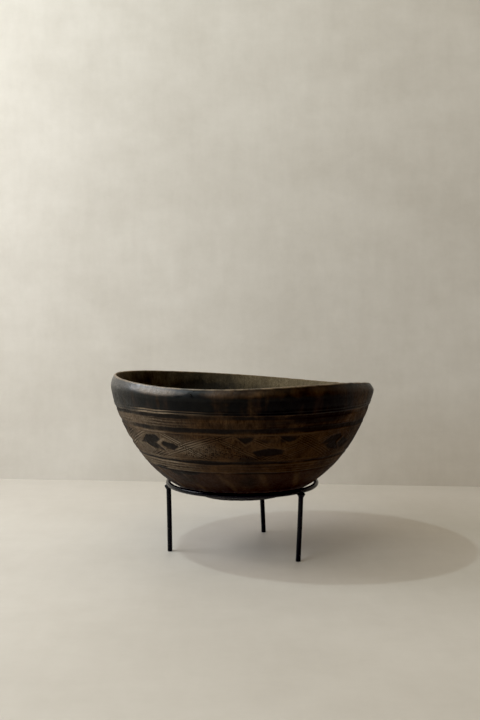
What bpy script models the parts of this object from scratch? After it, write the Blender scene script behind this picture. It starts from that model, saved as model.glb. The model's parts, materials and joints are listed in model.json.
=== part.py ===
"""Carved wooden bowl resting in a three-legged stand of black steel rod.

Units are metres and +Z is up.  The origin is on the floor, under the middle of
the bowl's mouth, and the front of the bowl faces -Y.  An azimuth is an angle
seen from above: 0 points to the front, +90 to the right (+X), 180 to the back.
"""

import math

import bmesh
import bpy
from mathutils import Matrix, Vector
from mathutils.geometry import interpolate_bezier

OBJECT_NAME = "carved_wooden_bowl"

# Bowl, outside: a small flat base, one long curved wall, and a rolled-in rim.
BASE_RADIUS = 0.0395
BASE_HEIGHT = 0.0673
BELLY_RADIUS = 0.163
BELLY_HEIGHT = 0.2010
WALL_LOWER_HANDLE = (0.1315, 0.0825)
WALL_UPPER_HANDLE = (0.1613, 0.1905)
SHOULDER_LOWER_HANDLE = (0.1630, 0.2045)
SHOULDER_UPPER_HANDLE = (0.1611, 0.2070)
RIM_HEIGHT = 0.2112
RIM_MIDDLE_RADIUS = 0.1573
RIM_HALF_WIDTH = 0.0018
RIM_ROUNDING = 0.0015

# Bowl, inside: a round hollow that leaves the wood thick below and thin above.
HOLLOW_FLOOR_HEIGHT = 0.0805
HOLLOW_LOWER_HANDLE = (0.108, 0.0805)
HOLLOW_UPPER_HANDLE = (0.1465, 0.163)
HOLLOW_MOUTH = (0.153, 0.198)

# The rim was levelled by eye: waves per turn, height and azimuth of each crest.
RIM_WAVES = (
    (1, 0.0079, math.radians(-44.0)),
    (2, 0.0043, math.radians(57.0)),
    (3, 0.0013, math.radians(46.0)),
)
LEVEL_CARVING_TOP = 0.186

# How finely the turned shapes are stepped.
TURN_STEPS = 72
WALL_POINTS = 15
HOLLOW_POINTS = 14
RIM_SHOULDER_POINTS = 6
RIM_EDGE_POINTS = 5

# Stand: a ring of round bar on three legs cut from the same bar.
ROD_RADIUS = 0.003
RING_RADIUS = 0.092
RING_HEIGHT = 0.0842
RING_CENTRE = Vector((0.0004, -0.0015))
RING_POINTS = 84
ROD_BEVEL_RESOLUTION = 4
ROD_SEGMENTS = 24
CUT_END_BEVEL = 0.0004
FIT_GAP = 0.0003

# Each leg: its azimuth on the ring, and how far its foot stands from its top.
LEGS = {
    "left": (math.radians(-83.0), Vector((0.0017, 0.0))),
    "right": (math.radians(49.0), Vector((-0.0033, 0.0015))),
    "back": (math.radians(164.5), Vector((0.0040, -0.0019))),
}

# Welds: a collar around the top of each leg, and a bead where the ring closes.
WELD_REACH_DOWN = 0.0055
WELD_REACH_UP = 0.0018
WELD_TOE_WIDTH = 0.0006
WELD_WIDTH = 0.0026
WELD_POINTS = 6
WELD_STEPS = 32
SEAM_AZIMUTH = math.radians(105.0)
SEAM_GAP = 0.0023
SEAM_BEAD_RADIUS = 0.0034

SHARP_ANGLE = math.radians(35.0)


def clear_scene():
    """Remove whatever the file opened with."""
    for obj in list(bpy.data.objects):
        bpy.data.objects.remove(obj, do_unlink=True)


def new_collection(name):
    collection = bpy.data.collections.new(name)
    bpy.context.scene.collection.children.link(collection)
    return collection


def painted(name, color, roughness, metallic=0.0):
    """A plain Principled material for one piece."""
    material = bpy.data.materials.new(name)
    material.use_nodes = True
    shader = material.node_tree.nodes["Principled BSDF"]
    shader.inputs["Base Color"].default_value = (*color, 1.0)
    shader.inputs["Roughness"].default_value = roughness
    shader.inputs["Metallic"].default_value = metallic
    return material


def evaluated_mesh(obj):
    """A copy of the mesh that the object shows, with its modifiers applied."""
    graph = bpy.context.evaluated_depsgraph_get()
    return bpy.data.meshes.new_from_object(obj.evaluated_get(graph), depsgraph=graph)


def smooth_round_faces(mesh):
    mesh.shade_smooth()
    mesh.set_sharp_from_angle(angle=SHARP_ANGLE)


def add_object(name, data, collection, material=None):
    obj = bpy.data.objects.new(name, data)
    collection.objects.link(obj)
    if material is not None:
        obj.data.materials.append(material)
    return obj


def on_ring(azimuth, height=RING_HEIGHT):
    """The point of the ring's centre line at an azimuth, at a chosen height."""
    x = RING_CENTRE.x + RING_RADIUS * math.sin(azimuth)
    y = RING_CENTRE.y - RING_RADIUS * math.cos(azimuth)
    return Vector((x, y, height))


def turned_mesh(outline, steps):
    """Turn an outline of (radius, height) points once around the Z axis."""
    mesh = bpy.data.meshes.new("outline")
    edges = [(i, i + 1) for i in range(len(outline) - 1)]
    mesh.from_pydata([(radius, 0.0, height) for radius, height in outline], edges, [])
    guide = bpy.data.objects.new("outline", mesh)
    bpy.context.scene.collection.objects.link(guide)
    screw = guide.modifiers.new("turn", "SCREW")
    screw.steps = steps
    screw.render_steps = steps
    screw.use_merge_vertices = True
    screw.merge_threshold = 0.00001
    bpy.context.view_layer.update()
    turned = evaluated_mesh(guide)
    bpy.data.objects.remove(guide, do_unlink=True)
    bpy.data.meshes.remove(mesh)
    return turned


def bezier_points(start, start_handle, end_handle, end, count):
    """Evenly stepped (radius, height) points along one Bezier curve."""
    corners = (start, start_handle, end_handle, end)
    knots = [Vector((radius, height, 0.0)) for radius, height in corners]
    return [(point.x, point.y) for point in interpolate_bezier(*knots, count)]


def ellipse_points(centre, half_width, height, start, end, count):
    """Points along part of an ellipse, from the start angle to the end angle."""
    points = []
    for step in range(count + 1):
        angle = start + (end - start) * step / count
        radius = centre[0] + half_width * math.cos(angle)
        points.append((radius, centre[1] + height * math.sin(angle)))
    return points


def bowl_outline():
    """The bowl's half section: up the hollow, over the rim, and down outside."""
    edge_height = RIM_HEIGHT - RIM_ROUNDING
    outer_edge_radius = RIM_MIDDLE_RADIUS + RIM_HALF_WIDTH
    hollow = bezier_points(
        (0.0, HOLLOW_FLOOR_HEIGHT), HOLLOW_LOWER_HANDLE, HOLLOW_UPPER_HANDLE, HOLLOW_MOUTH, HOLLOW_POINTS
    )
    rim_edge = ellipse_points(
        (RIM_MIDDLE_RADIUS, edge_height), RIM_HALF_WIDTH, RIM_ROUNDING, math.pi, 0.0, RIM_EDGE_POINTS
    )
    shoulder = bezier_points(
        (outer_edge_radius, edge_height),
        SHOULDER_UPPER_HANDLE,
        SHOULDER_LOWER_HANDLE,
        (BELLY_RADIUS, BELLY_HEIGHT),
        RIM_SHOULDER_POINTS,
    )
    wall = bezier_points(
        (BELLY_RADIUS, BELLY_HEIGHT),
        WALL_UPPER_HANDLE,
        WALL_LOWER_HANDLE,
        (BASE_RADIUS, BASE_HEIGHT),
        WALL_POINTS,
    )
    return hollow + rim_edge + shoulder[1:] + wall[1:] + [(0.0, BASE_HEIGHT)]


def rim_rise(azimuth):
    """How far the rim stands above or below its mean height."""
    return sum(height * math.cos(waves * (azimuth - crest)) for waves, height, crest in RIM_WAVES)


def make_bowl(collection):
    """The bowl, carved from one block, with its uneven rim."""
    mesh = turned_mesh(bowl_outline(), TURN_STEPS)
    for vertex in mesh.vertices:
        above = vertex.co.z - LEVEL_CARVING_TOP
        share = max(0.0, above) / (RIM_HEIGHT - LEVEL_CARVING_TOP)
        azimuth = math.atan2(vertex.co.x, -vertex.co.y)
        vertex.co.z += share * rim_rise(azimuth)
    smooth_round_faces(mesh)
    wood = painted("carved_wood", (0.045, 0.028, 0.017), 0.45)
    return add_object("bowl", mesh, collection, wood)


def ring_mesh(rod_radius, first_azimuth, last_azimuth):
    """A round bar bent along the ring's centre line, as one closed mesh."""
    curve = bpy.data.curves.new("ring_path", "CURVE")
    curve.dimensions = "3D"
    curve.bevel_depth = rod_radius
    curve.bevel_resolution = ROD_BEVEL_RESOLUTION
    curve.use_fill_caps = True
    path = curve.splines.new("POLY")
    path.points.add(RING_POINTS)
    for index, point in enumerate(path.points):
        azimuth = first_azimuth + (last_azimuth - first_azimuth) * index / RING_POINTS
        point.co = (*on_ring(azimuth), 1.0)
    guide = bpy.data.objects.new("ring_path", curve)
    bpy.context.scene.collection.objects.link(guide)
    bpy.context.view_layer.update()
    mesh = evaluated_mesh(guide)
    bpy.data.objects.remove(guide, do_unlink=True)
    body = bmesh.new()
    body.from_mesh(mesh)
    bmesh.ops.remove_doubles(body, verts=body.verts, dist=0.00001)
    bmesh.ops.recalc_face_normals(body, faces=body.faces)
    body.to_mesh(mesh)
    body.free()
    return mesh


def make_ring(collection):
    """The ring, bent from one bar, its two cut ends a seam's width apart."""
    half_gap = SEAM_GAP / 2.0 / RING_RADIUS
    mesh = ring_mesh(ROD_RADIUS, SEAM_AZIMUTH + half_gap, SEAM_AZIMUTH + math.tau - half_gap)
    smooth_round_faces(mesh)
    paint = painted("ring_black_paint", (0.012, 0.012, 0.014), 0.32)
    return add_object("stand_ring", mesh, collection, paint)


def make_ring_cutter(collection):
    """The ring a fit gap larger all round, to hollow the weld collars."""
    end_azimuth = SEAM_AZIMUTH + math.tau * RING_POINTS / (RING_POINTS + 1)
    mesh = ring_mesh(ROD_RADIUS + FIT_GAP, SEAM_AZIMUTH, end_azimuth)
    cutter = add_object("ring_cutter", mesh, collection)
    cutter.hide_render = True
    cutter.display_type = "WIRE"
    return cutter


def make_seam_weld(collection):
    """The bead that closes the ring, a flat lens between the bar's two ends."""
    half_thickness = SEAM_GAP / 2.0 - FIT_GAP
    mesh = bpy.data.meshes.new("ring_seam_weld")
    body = bmesh.new()
    bmesh.ops.create_uvsphere(body, u_segments=24, v_segments=12, radius=SEAM_BEAD_RADIUS)
    bmesh.ops.scale(body, vec=(1.0, 1.0, half_thickness / SEAM_BEAD_RADIUS), verts=body.verts)
    body.to_mesh(mesh)
    body.free()
    mesh.transform(Matrix.Rotation(math.pi / 2.0, 4, "Y"))
    smooth_round_faces(mesh)
    paint = painted("seam_black_paint", (0.012, 0.012, 0.014), 0.4)
    bead = add_object("ring_seam_weld", mesh, collection, paint)
    bead.location = on_ring(SEAM_AZIMUTH)
    bead.rotation_euler.z = SEAM_AZIMUTH
    return bead


def leg_height():
    """A leg ends a fit gap below the underside of the ring."""
    return RING_HEIGHT - ROD_RADIUS - FIT_GAP


def lean(foot_shift):
    """A shear that leans a piece, so that its two ends stay level."""
    shear = Matrix.Identity(4)
    shear[0][2] = -foot_shift.x / leg_height()
    shear[1][2] = -foot_shift.y / leg_height()
    return shear


def make_leg(name, azimuth, foot_shift, collection):
    """A straight length of bar, cut level at the floor and under the ring."""
    mesh = bpy.data.meshes.new("leg_" + name)
    body = bmesh.new()
    bmesh.ops.create_cone(
        body,
        cap_ends=True,
        segments=ROD_SEGMENTS,
        radius1=ROD_RADIUS,
        radius2=ROD_RADIUS,
        depth=leg_height(),
    )
    bmesh.ops.translate(body, vec=(0.0, 0.0, leg_height() / 2.0), verts=body.verts)
    body.to_mesh(mesh)
    body.free()
    mesh.transform(lean(foot_shift))
    smooth_round_faces(mesh)
    paint = painted("leg_" + name + "_black_paint", (0.012, 0.012, 0.014), 0.32)
    leg = add_object("leg_" + name, mesh, collection, paint)
    leg.location = on_ring(azimuth, 0.0) + foot_shift.to_3d()
    cut_ends = leg.modifiers.new("cut_ends", "BEVEL")
    cut_ends.width = CUT_END_BEVEL
    cut_ends.segments = 2
    return leg


def weld_outline():
    """The collar's half section, measured from the middle of the leg's top."""
    bore = ROD_RADIUS + FIT_GAP
    points = [(bore, -WELD_REACH_DOWN), (bore, WELD_REACH_UP)]
    for step in range(WELD_POINTS + 1):
        share = step / WELD_POINTS
        width = WELD_WIDTH + (WELD_TOE_WIDTH - WELD_WIDTH) * math.sin(share * math.pi / 2.0)
        height = WELD_REACH_UP - (WELD_REACH_UP + WELD_REACH_DOWN) * share
        points.append((bore + width, height))
    points.append(points[0])
    return points


def make_leg_weld(name, azimuth, foot_shift, ring_cutter, collection):
    """The weld that holds a leg under the ring, hollowed by both bars."""
    mesh = turned_mesh(weld_outline(), WELD_STEPS)
    mesh.transform(lean(foot_shift))
    smooth_round_faces(mesh)
    paint = painted("weld_" + name + "_black_paint", (0.012, 0.012, 0.014), 0.4)
    weld = add_object("weld_" + name, mesh, collection, paint)
    weld.location = on_ring(azimuth, leg_height())
    hollow = weld.modifiers.new("ring_hollow", "BOOLEAN")
    hollow.object = ring_cutter
    hollow.operation = "DIFFERENCE"
    hollow.solver = "EXACT"
    return weld


def main():
    clear_scene()
    parts = new_collection(OBJECT_NAME)
    cutters = new_collection("cutters")
    make_bowl(parts)
    make_ring(parts)
    make_seam_weld(parts)
    ring_cutter = make_ring_cutter(cutters)
    for name, (azimuth, foot_shift) in LEGS.items():
        make_leg(name, azimuth, foot_shift, parts)
        make_leg_weld(name, azimuth, foot_shift, ring_cutter, parts)


main()
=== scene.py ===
"""Looks for the carved wooden bowl and its rod stand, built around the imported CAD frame.

Units are metres and +Z is up; the front of the bowl faces -Y.  An azimuth is an
angle seen from above: 0 points to the front, +90 to the right (+X).
"""

import json
import math

import bmesh
import bpy
import numpy as np
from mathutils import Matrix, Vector

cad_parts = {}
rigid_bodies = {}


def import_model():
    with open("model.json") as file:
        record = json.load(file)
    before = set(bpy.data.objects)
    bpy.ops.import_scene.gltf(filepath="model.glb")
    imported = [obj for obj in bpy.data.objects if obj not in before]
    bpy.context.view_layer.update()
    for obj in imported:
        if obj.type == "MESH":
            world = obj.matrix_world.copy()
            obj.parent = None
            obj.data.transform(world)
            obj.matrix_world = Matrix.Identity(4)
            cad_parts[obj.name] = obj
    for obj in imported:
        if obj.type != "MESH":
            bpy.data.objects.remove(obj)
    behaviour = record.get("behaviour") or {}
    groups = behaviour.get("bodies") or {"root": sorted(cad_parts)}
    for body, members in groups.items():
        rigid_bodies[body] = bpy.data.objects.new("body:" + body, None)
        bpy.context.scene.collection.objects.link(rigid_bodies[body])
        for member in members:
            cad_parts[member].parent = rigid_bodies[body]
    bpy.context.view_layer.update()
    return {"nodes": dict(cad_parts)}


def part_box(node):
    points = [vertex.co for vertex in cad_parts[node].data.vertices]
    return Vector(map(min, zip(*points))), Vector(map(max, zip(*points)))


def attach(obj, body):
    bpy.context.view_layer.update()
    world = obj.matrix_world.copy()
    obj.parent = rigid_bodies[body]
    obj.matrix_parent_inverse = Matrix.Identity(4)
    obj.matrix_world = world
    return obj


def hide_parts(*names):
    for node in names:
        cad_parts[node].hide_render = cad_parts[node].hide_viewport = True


MM = 0.001
TURN = math.tau


def color(red, green, blue):
    """A linear colour with full alpha."""
    return (red, green, blue, 1.0)


# The bowl's wall, the same curves as the CAD bowl.
WALL_LOWER_HANDLE = (0.1315, 0.0825)
WALL_UPPER_HANDLE = (0.1613, 0.1905)
BELLY_HEIGHT = 0.2010
BASE_RADIUS = 0.0395
SHOULDER_LOWER_HANDLE = (0.1630, 0.2045)
SHOULDER_UPPER_HANDLE = (0.1611, 0.2070)
RIM_HEIGHT = 0.2112
RIM_MIDDLE_RADIUS = 0.1573
RIM_HALF_WIDTH = 0.0018
RIM_ROUNDING = 0.0015
HOLLOW_FLOOR_HEIGHT = 0.0805
HOLLOW_LOWER_HANDLE = (0.108, 0.0805)
HOLLOW_UPPER_HANDLE = (0.1465, 0.163)
HOLLOW_MOUTH = (0.153, 0.198)
# The rim's slow rise and fall: waves around the bowl, height and azimuth of a crest.
# Nothing below the level carving's top follows it.
RIM_WAVES = (
    (1, 0.0079, math.radians(-44.0)),
    (2, 0.0043, math.radians(57.0)),
    (3, 0.0013, math.radians(46.0)),
)
LEVEL_CARVING_TOP = 0.186

# The side that hands have polished most, which also faces the light, where the carving's pale raised lines
# and hatching are strongest: partly crisp carving and partly painted light on the lit side; and how much
# of each is left on the far side.
LIT_HANDLED_AZIMUTH = math.radians(-60.0)
LEAST_POLISH = 0.24
LEAST_CRISP_AND_LIT = 0.30

# Heights over which the black band, the handled shoulder and the worn edge fade in.
BAND_EDGE = (182.5 * MM, 184.0 * MM)
SHOULDER_EDGE = (199.0 * MM, 205.0 * MM)
WORN_EDGE = (RIM_HEIGHT - 1.6 * MM, RIM_HEIGHT - 0.3 * MM)
NICK_DEPTH = 0.35 * MM

# The masks that the bowl's mesh carries for its material.
WOOD_MASKS = (
    "stain", "worn", "rising", "falling", "dotted", "scribed",
    "panel", "patch", "pale", "band", "shoulder", "edge", "hollow",
)

# How finely the bowl is meshed: columns by the radius of a ring, rows by height.
FINE_COLUMNS = 600
COARSE_COLUMNS = 300
FINE_RING_RADIUS = 0.086
COARSE_RING_RADIUS = 0.05
SMALL_RING_RADIUS = 0.022
CARVED_TOP = 190.5 * MM
RIDGED_STRIP = (183.2 * MM, 189.2 * MM)
CARVED_ROW_STEP = 1.35 * MM
GROOVE_ROW_STEP = 0.9 * MM
RIDGE_ROW_STEP = 0.65 * MM
PLAIN_ROW_STEP = 3.4 * MM
HOLLOW_ROW_STEP = 5.6 * MM

# Lines cut round the bowl: height, half width, depth and how black the cut is.
GROOVES = (
    (188.5 * MM, 0.5 * MM, 0.20 * MM, 0.6),
    (185.9 * MM, 0.45 * MM, 0.30 * MM, 0.9),
    (180.8 * MM, 2.6 * MM, 0.85 * MM, 1.0),
    (165.8 * MM, 3.1 * MM, 0.75 * MM, 1.0),
    (160.9 * MM, 0.5 * MM, 0.25 * MM, 0.5),
    (130.6 * MM, 0.5 * MM, 0.22 * MM, 0.4),
    (127.8 * MM, 1.6 * MM, 0.75 * MM, 0.95),
    (114.4 * MM, 1.1 * MM, 0.60 * MM, 0.85),
)
LINE_WANDER = 0.8 * MM
LINE_TILT = 1.1 * MM
LINE_TILT_AZIMUTH = math.radians(40.0)
LINE_TILT_HEIGHTS = (150.0 * MM, 180.0 * MM)

# Raised lines left standing beside the grooves: height and half width.
RIDGES = (
    (187.1 * MM, 0.7 * MM),
    (184.5 * MM, 0.8 * MM),
    (162.0 * MM, 0.6 * MM),
    (131.6 * MM, 0.6 * MM),
    (125.6 * MM, 0.6 * MM),
    (116.4 * MM, 0.6 * MM),
)
RIDGE_RISE = 0.35 * MM

# Bands of fine lines scratched round the bowl: lowest and highest line.
SCRIBED_BANDS = (
    (169.6 * MM, 178.2 * MM),
    (117.4 * MM, 125.0 * MM),
)
SCRIBED_FADE = 0.9 * MM
SCRIBED_PITCH = 3.4 * MM

# The frieze between the grooves.  One unit of it is drawn unrolled, in degrees across
# and millimetres up, and is stretched from each start to the next around the bowl.
FRIEZE_MIDDLE = 146.2 * MM
FRIEZE_HALF_HEIGHT = 14.2 * MM
FRIEZE_RADIUS = 0.139
FRIEZE_STARTS = (-62.0, 33.0, 121.0, 210.0, 298.0)
FRIEZE_UNIT = 90.0
DARK_SHAPES = (
    ((4.2, -0.9), (11.4, 10.0), (18.0, 10.6), (20.0, 6.4), (16.8, 0.9)),
    ((4.2, -0.9), (16.8, 0.9), (21.7, -8.3), (17.2, -11.4), (11.5, -4.3)),
    ((19.5, -0.7), (21.3, 4.1), (24.8, 2.5), (29.6, -0.7), (26.2, -5.9), (23.5, -6.6)),
    ((57.0, 12.0), (63.6, 12.1), (62.5, 7.0), (60.9, 4.8), (57.8, 7.2)),
    ((64.0, -4.0), (70.0, -0.5), (78.0, -2.0), (77.0, -8.0), (66.0, -8.5)),
    ((74.0, 14.5), (83.5, 14.5), (82.0, 7.0), (76.0, 7.5)),
)
# Single raised lines: start, end (degrees, mm) and half width in mm.
LIGHT_LINES = (
    ((21.8, 7.2), (17.9, 0.6), 0.8),
    ((17.9, 0.6), (22.6, -9.4), 0.8),
    ((56.0, 13.0), (60.6, 3.4), 0.6),
    ((60.6, 3.4), (65.5, 13.0), 0.6),
    ((63.0, -3.0), (70.0, 1.6), 0.6),
    ((70.0, 1.6), (79.5, -3.5), 0.6),
    ((74.0, 13.5), (79.0, 4.6), 0.6),
    ((79.0, 4.6), (85.0, 13.5), 0.6),
)
# Ribbons of parallel lines: start, end (degrees, mm), half width in mm.
RISING_RIBBONS = (
    ((-4.0, -3.0), (10.0, 14.0), 3.4),
    ((18.0, -12.0), (49.0, 13.0), 5.4),
    ((66.0, -16.0), (86.0, 8.0), 3.2),
)
FALLING_RIBBONS = (
    ((21.5, 15.5), (41.0, -12.0), 3.4),
    ((45.0, 16.0), (66.0, -12.0), 3.2),
    ((63.0, 12.0), (77.0, -8.0), 2.8),
    ((81.0, 15.0), (104.0, -13.0), 6.0),
)
DOTTED_PATCH = ((36.0, -2.0), (46.0, 7.0), (59.0, 4.0), (63.0, -13.0), (28.0, -13.0))
FRIEZE_RECESS = 0.65 * MM
RIBBON_RISE = 0.25 * MM
OUTLINE_DEPTH = 0.3 * MM
HATCH_PITCH = 2.7 * MM
# How many waves each hatching makes on its way around the bowl.
RISING_HATCH_TURNS = -112.0
FALLING_HATCH_TURNS = 150.0
PUNCHED_DOTS_SCALE = 430.0

# Soft patches: azimuth in degrees and height in mm of the middle, half width and half
# height in the same units, and how much they blacken (above 0) or bare (below 0) the wood.
PATCHES = (
    (-3.0, 207.0, 13.0, 5.0, -0.7),
    (30.0, 205.5, 28.0, 6.0, -0.35),
    # Bares the black on the left shoulder for the pale patch there: part of a painted highlight where the
    # lamp's reflection falls.
    (-38.0, 206.5, 17.0, 4.5, -0.75),
    # Blackens a band all round below the ring: painted shade under the bowl.
    (0.0, 70.0, 400.0, 12.0, 1.0),
    (-36.0, 195.0, 1.1, 9.0, -0.55),
    (3.0, 195.0, 1.2, 11.0, -0.25),
    (9.5, 197.0, 0.9, 10.0, -0.15),
    (66.0, 198.0, 14.0, 14.0, -0.5),
    (8.0, 173.0, 30.0, 6.5, 0.5),
    (33.0, 178.0, 20.0, 5.5, 0.75),
    (36.0, 168.0, 13.0, 3.6, 0.8),
    (-18.0, 127.8, 11.0, 2.8, 1.0),
    (-51.0, 115.0, 8.0, 2.4, 1.7),
    (-41.0, 111.0, 5.0, 3.0, 1.2),
    (-31.0, 112.6, 6.0, 2.6, 1.6),
    (-36.0, 104.0, 8.5, 9.0, 0.55),
    (4.0, 102.0, 6.5, 9.0, 0.5),
    (-7.5, 113.0, 5.5, 7.0, -0.6),
    (30.0, 147.0, 12.0, 15.0, -0.4),
    (-12.0, 146.0, 16.0, 12.0, -0.15),
    (16.0, 155.0, 15.0, 4.0, 0.45),
    (52.0, 140.0, 10.0, 12.0, 0.4),
    (2.0, 131.0, 7.0, 6.0, 0.4),
    (-62.0, 162.0, 9.0, 22.0, -0.25),
    (104.0, 205.0, 9.0, 6.0, -0.7),
    (121.0, 192.0, 1.2, 10.0, -0.55),
    (148.0, 176.0, 18.0, 6.0, 0.7),
    (171.0, 206.0, 13.0, 5.0, -0.8),
    (-166.0, 128.0, 12.0, 2.4, 0.7),
    (-141.0, 197.0, 1.4, 9.0, -0.5),
    (-112.0, 178.0, 15.0, 6.0, 0.65),
    (-104.0, 207.0, 8.0, 4.0, -0.7),
    (-84.0, 140.0, 10.0, 14.0, -0.3),
    (82.0, 112.0, 12.0, 8.0, 0.5),
)

# The same for the hollow: painted shade where the rim keeps the light off the far left inside, and painted
# light where it falls on the far right.
HOLLOW_LIGHT_AND_SHADE_PATCHES = (
    (-143.0, 197.0, 46.0, 26.0, 0.55),
    (-158.0, 181.0, 36.0, 15.0, 0.45),
    (150.0, 205.0, 42.0, 14.0, -0.38),
    (20.0, 130.0, 80.0, 34.0, 0.4),
    (-60.0, 200.0, 34.0, 13.0, -0.3),
)

# Where the brown wood is pale, given in the same way: on the back it has gone dry and pale; on the left,
# where the light falls, the pale is painted sheen.
PALE_AND_SHEEN_PATCHES = (
    # The left shoulder: pale speckled grey-tan, a painted highlight where the lamp's reflection falls.
    (-38.0, 206.5, 20.0, 5.0, 1.0),
    # These five, on the lit left side, are painted sheen on the raised lines and the wall.
    (-50.0, 186.0, 36.0, 5.0, 1.0),
    (-52.0, 174.0, 27.0, 13.0, 0.85),
    (-48.0, 146.0, 27.0, 17.0, 0.9),
    (-50.0, 121.0, 26.0, 11.0, 1.0),
    (-22.0, 143.0, 11.0, 11.0, 0.45),
    (112.0, 150.0, 18.0, 22.0, 0.7),
    (165.0, 122.0, 22.0, 10.0, 0.8),
    (-170.0, 174.0, 25.0, 8.0, 0.7),
    (-118.0, 144.0, 20.0, 15.0, 0.6),
)

# Slanting panels around the foot of the bowl.
PANEL_TOP = 114.0 * MM
PANEL_BOTTOM = 88.0 * MM
PANEL_COUNT = 16
PANEL_SLANT = math.radians(8.5)
PANEL_START = math.radians(4.0)
STRIP_HALF_WIDTH = math.radians(1.7)
STRIP_RISE = 0.4 * MM

# Slow unevenness left by the adze and the gouge.
FACET_DEPTH = 0.2 * MM
SCOOP_DEPTH = 0.45 * MM
SWELL_DEPTH = 0.5 * MM

# Stand.  A wave is its count around the ring, its size and its phase.
RING_SEGMENTS = 200
RING_BENDS = ((3.0, 0.22 * MM, 0.7), (7.0, 0.12 * MM, 0.0))
RING_SAGS = ((2.0, 0.15 * MM, 1.9),)
ROD_SIDES = 24
LEG_RINGS = 24
LEG_BEVEL = 0.35 * MM
LEG_BOW = (0.18 * MM, 0.12 * MM, 0.0)
LEG_INTO_RING = 0.6
LEG_WELD_BEADS = 14
SEAM_WELD_BEADS = 12
SEAM_AZIMUTH = math.radians(105.0)
WELD_VOXEL = 0.38 * MM

# Colours of the wood.
BROWN_DEEP = color(0.024, 0.0125, 0.0055)
BROWN_LIGHT = color(0.078, 0.044, 0.020)
BROWN_BLOTCH = color(0.026, 0.0150, 0.0080)
BROWN_STREAK = color(0.088, 0.046, 0.0190)
BROWN_RUBBED = color(0.074, 0.045, 0.0230)
BROWN_PANEL = color(0.0205, 0.0115, 0.0085)
# Pale colours of dry wood, also used for the painted sheen on the lit left side.
DRIED_SHEEN_DEEP = color(0.074, 0.053, 0.0330)
DRIED_SHEEN_LIGHT = color(0.168, 0.124, 0.080)
DRIED_SHEEN_DUST = color(0.300, 0.240, 0.170)
DRIED_SHEEN_RUBBED = color(0.265, 0.205, 0.140)
BAND_BLACK_DEEP = color(0.0026, 0.0032, 0.0024)
BAND_BLACK_LIGHT = color(0.0082, 0.0080, 0.0058)
BLACK_STREAK = color(0.0215, 0.0120, 0.0066)
STAIN_BLACK = color(0.0140, 0.0116, 0.0084)
CUT_BLACK = color(0.0085, 0.0060, 0.0040)
HOLLOW_DEEP = color(0.062, 0.0468, 0.0265)
HOLLOW_LIGHT = color(0.135, 0.105, 0.061)
HOLLOW_MOTTLE = color(0.060, 0.045, 0.0260)
HOLLOW_DUST = color(0.230, 0.190, 0.125)
# Also the colour of the painted shade inside the hollow.
HOLLOW_STAIN_AND_SHADE = color(0.0155, 0.0158, 0.0135)
RIM_WORN = color(0.210, 0.150, 0.092)

# Colours of the paint, the floor and the wall.
PAINT_DEEP = color(0.0024, 0.0025, 0.0028)
PAINT_LIGHT = color(0.0050, 0.0049, 0.0048)
PAINT_DUST = color(0.024, 0.022, 0.019)
FLOOR_DARK = color(0.52, 0.48, 0.43)
FLOOR_LIGHT = color(0.57, 0.53, 0.48)
WALL_DARK = color(0.53, 0.49, 0.43)
WALL_LIGHT = color(0.61, 0.57, 0.51)

# Camera and light.
CAMERA_DISTANCE = 1.25
CAMERA_HEIGHT = 0.319
CAMERA_SIDESTEP = -0.0026
LENS_MM = 50.0
SENSOR_MM = 36.0
CAMERA_SHIFT = -0.0928
FLOOR_SIZE = 12.0
WALL_SIZE = 8.0
WALL_SINK = 0.02
WALL_DISTANCE = 0.4325
WALL_TURN = math.radians(5.0)
LIGHT_TARGET = (0.0, 0.0, 0.12)
# Square lamps: place, side, watts, tint and whether polished surfaces mirror them.
LAMPS = {
    "window": ((-1.0, 0.0, 0.8), 0.6, 8.6, (0.94, 0.96, 1.0), True),
    "side_daylight": ((-2.0, -2.0, 1.3), 2.0, 42.0, (0.74, 0.87, 1.0), False),
    "left_lamp": ((-0.71, -0.20, 1.52), 0.05, 4.9, (0.82, 0.98, 1.0), True),
    "right_lamp": ((1.05, -0.15, 1.5), 0.08, 1.2, (1.0, 0.98, 0.90), False),
    "ceiling": ((-0.2, -0.3, 2.4), 2.4, 13.0, (1.0, 1.0, 0.92), False),
    "room": ((-0.6, -1.5, 2.6), 2.4, 12.0, (1.0, 0.85, 0.35), False),
}
SURROUND_TINT = color(1.0, 0.62, 0.36)
SURROUND_STRENGTH = 0.15
SURROUND_SEEN = color(0.46, 0.42, 0.36)
BLACK_LEVEL = (0.0055, 0.0055, 0.0040)


def clear_startup_objects():
    for obj in list(bpy.data.objects):
        bpy.data.objects.remove(obj, do_unlink=True)


def add_object(name, data):
    obj = bpy.data.objects.new(name, data)
    bpy.context.scene.collection.objects.link(obj)
    return obj


def add_mesh(name, body):
    """An object made from a bmesh, which is freed."""
    mesh = bpy.data.meshes.new(name)
    body.to_mesh(mesh)
    body.free()
    return add_object(name, mesh)


def hand_over(piece, material, body, node):
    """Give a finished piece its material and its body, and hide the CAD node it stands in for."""
    piece.data.materials.append(material)
    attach(piece, body)
    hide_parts(node)


# ---- small maths


def smooth_step(low, high, value):
    """0 below low, 1 above high, and an even S curve between them."""
    share = np.clip((value - low) / (high - low), 0.0, 1.0)
    return share * share * (3.0 - 2.0 * share)


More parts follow.
